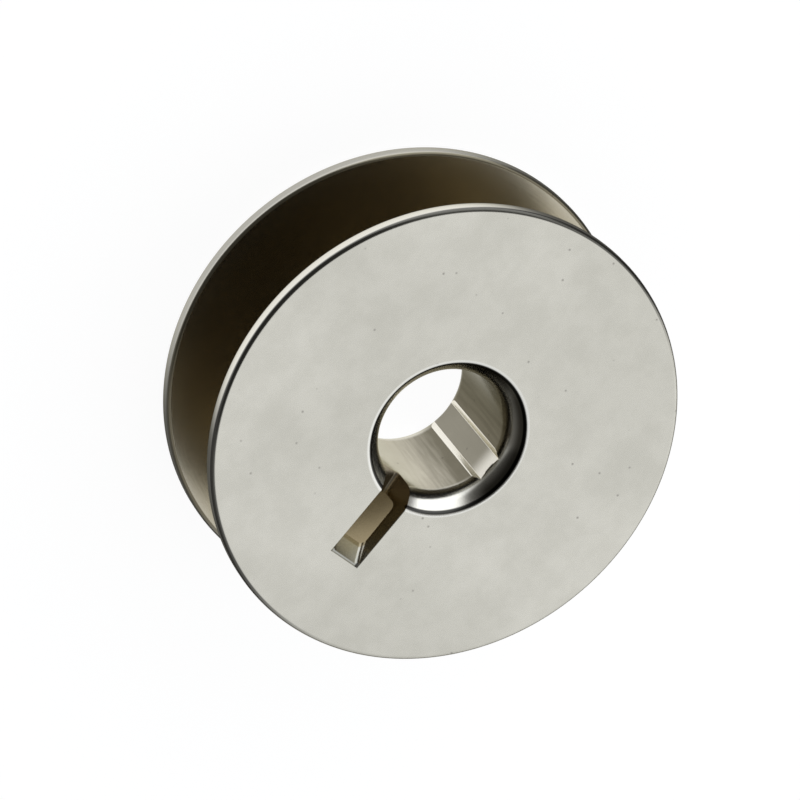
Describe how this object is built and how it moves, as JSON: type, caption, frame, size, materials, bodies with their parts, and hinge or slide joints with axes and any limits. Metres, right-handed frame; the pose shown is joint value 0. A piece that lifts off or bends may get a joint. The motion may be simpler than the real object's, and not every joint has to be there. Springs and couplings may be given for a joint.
{
  "type": "sewing machine bobbin",
  "caption": "Metal bobbin for a sewing machine's lower thread: thin flanges on a short hollow barrel, with a chamfered bore, a shallow keyway in the bore and a radial slot in one flange.",
  "frame": {"origin": "centre of the plain flange's outer face, on the axis of the bore; the bobbin stands on that face", "axes": "+Z along the bore towards the slotted flange, +X along the slot from the bore towards the rim"},
  "size_m": [0.0226, 0.0226, 0.0077],
  "materials": {
    "nickel_plate": "satin nickel plate on turned steel, with fine specks"
  },
  "bodies": {
    "root": {"bobbin": "nickel_plate"}
  },
  "joints": []
}
